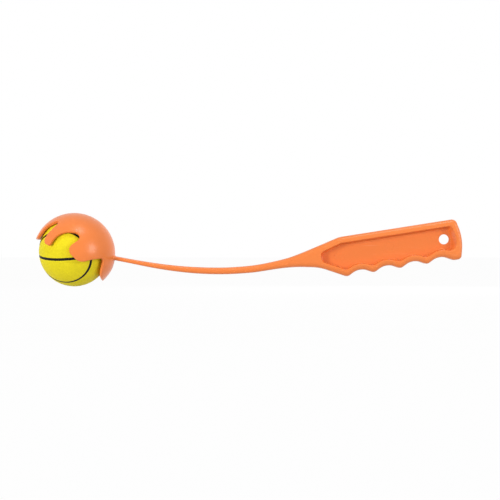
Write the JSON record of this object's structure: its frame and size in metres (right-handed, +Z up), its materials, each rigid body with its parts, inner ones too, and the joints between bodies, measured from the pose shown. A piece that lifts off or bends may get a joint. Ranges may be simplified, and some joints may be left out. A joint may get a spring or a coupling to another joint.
{
  "type": "dog ball thrower",
  "caption": "Hand-held ball thrower: a scalloped cup with gripping prongs on a sprung wand, a finger-grooved handle with a hang hole, and a rubber ball in the cup.",
  "frame": {"origin": "centre of the whole part's box", "axes": "+X along the thrower from the cup to the handle's butt, +Z up as held in the picture, Y through the faces of the handle; the cup's mouth faces -X and -Z"},
  "size_m": [0.3632, 0.0696, 0.0628],
  "materials": {
    "thrower_plastic": "satin moulded polypropylene",
    "ball_rubber": "pebbled matt rubber with dark seam lines"
  },
  "bodies": {
    "thrower": {"cup": "thrower_plastic", "wand": "thrower_plastic", "handle": "thrower_plastic"},
    "ball": {"ball": "ball_rubber"}
  },
  "joints": [
    {"name": "ball_release", "type": "slide", "parent": "thrower", "child": "ball", "axis": [-0.5476, 0, -0.8368], "range_m": [0, 0.045]}
  ]
}
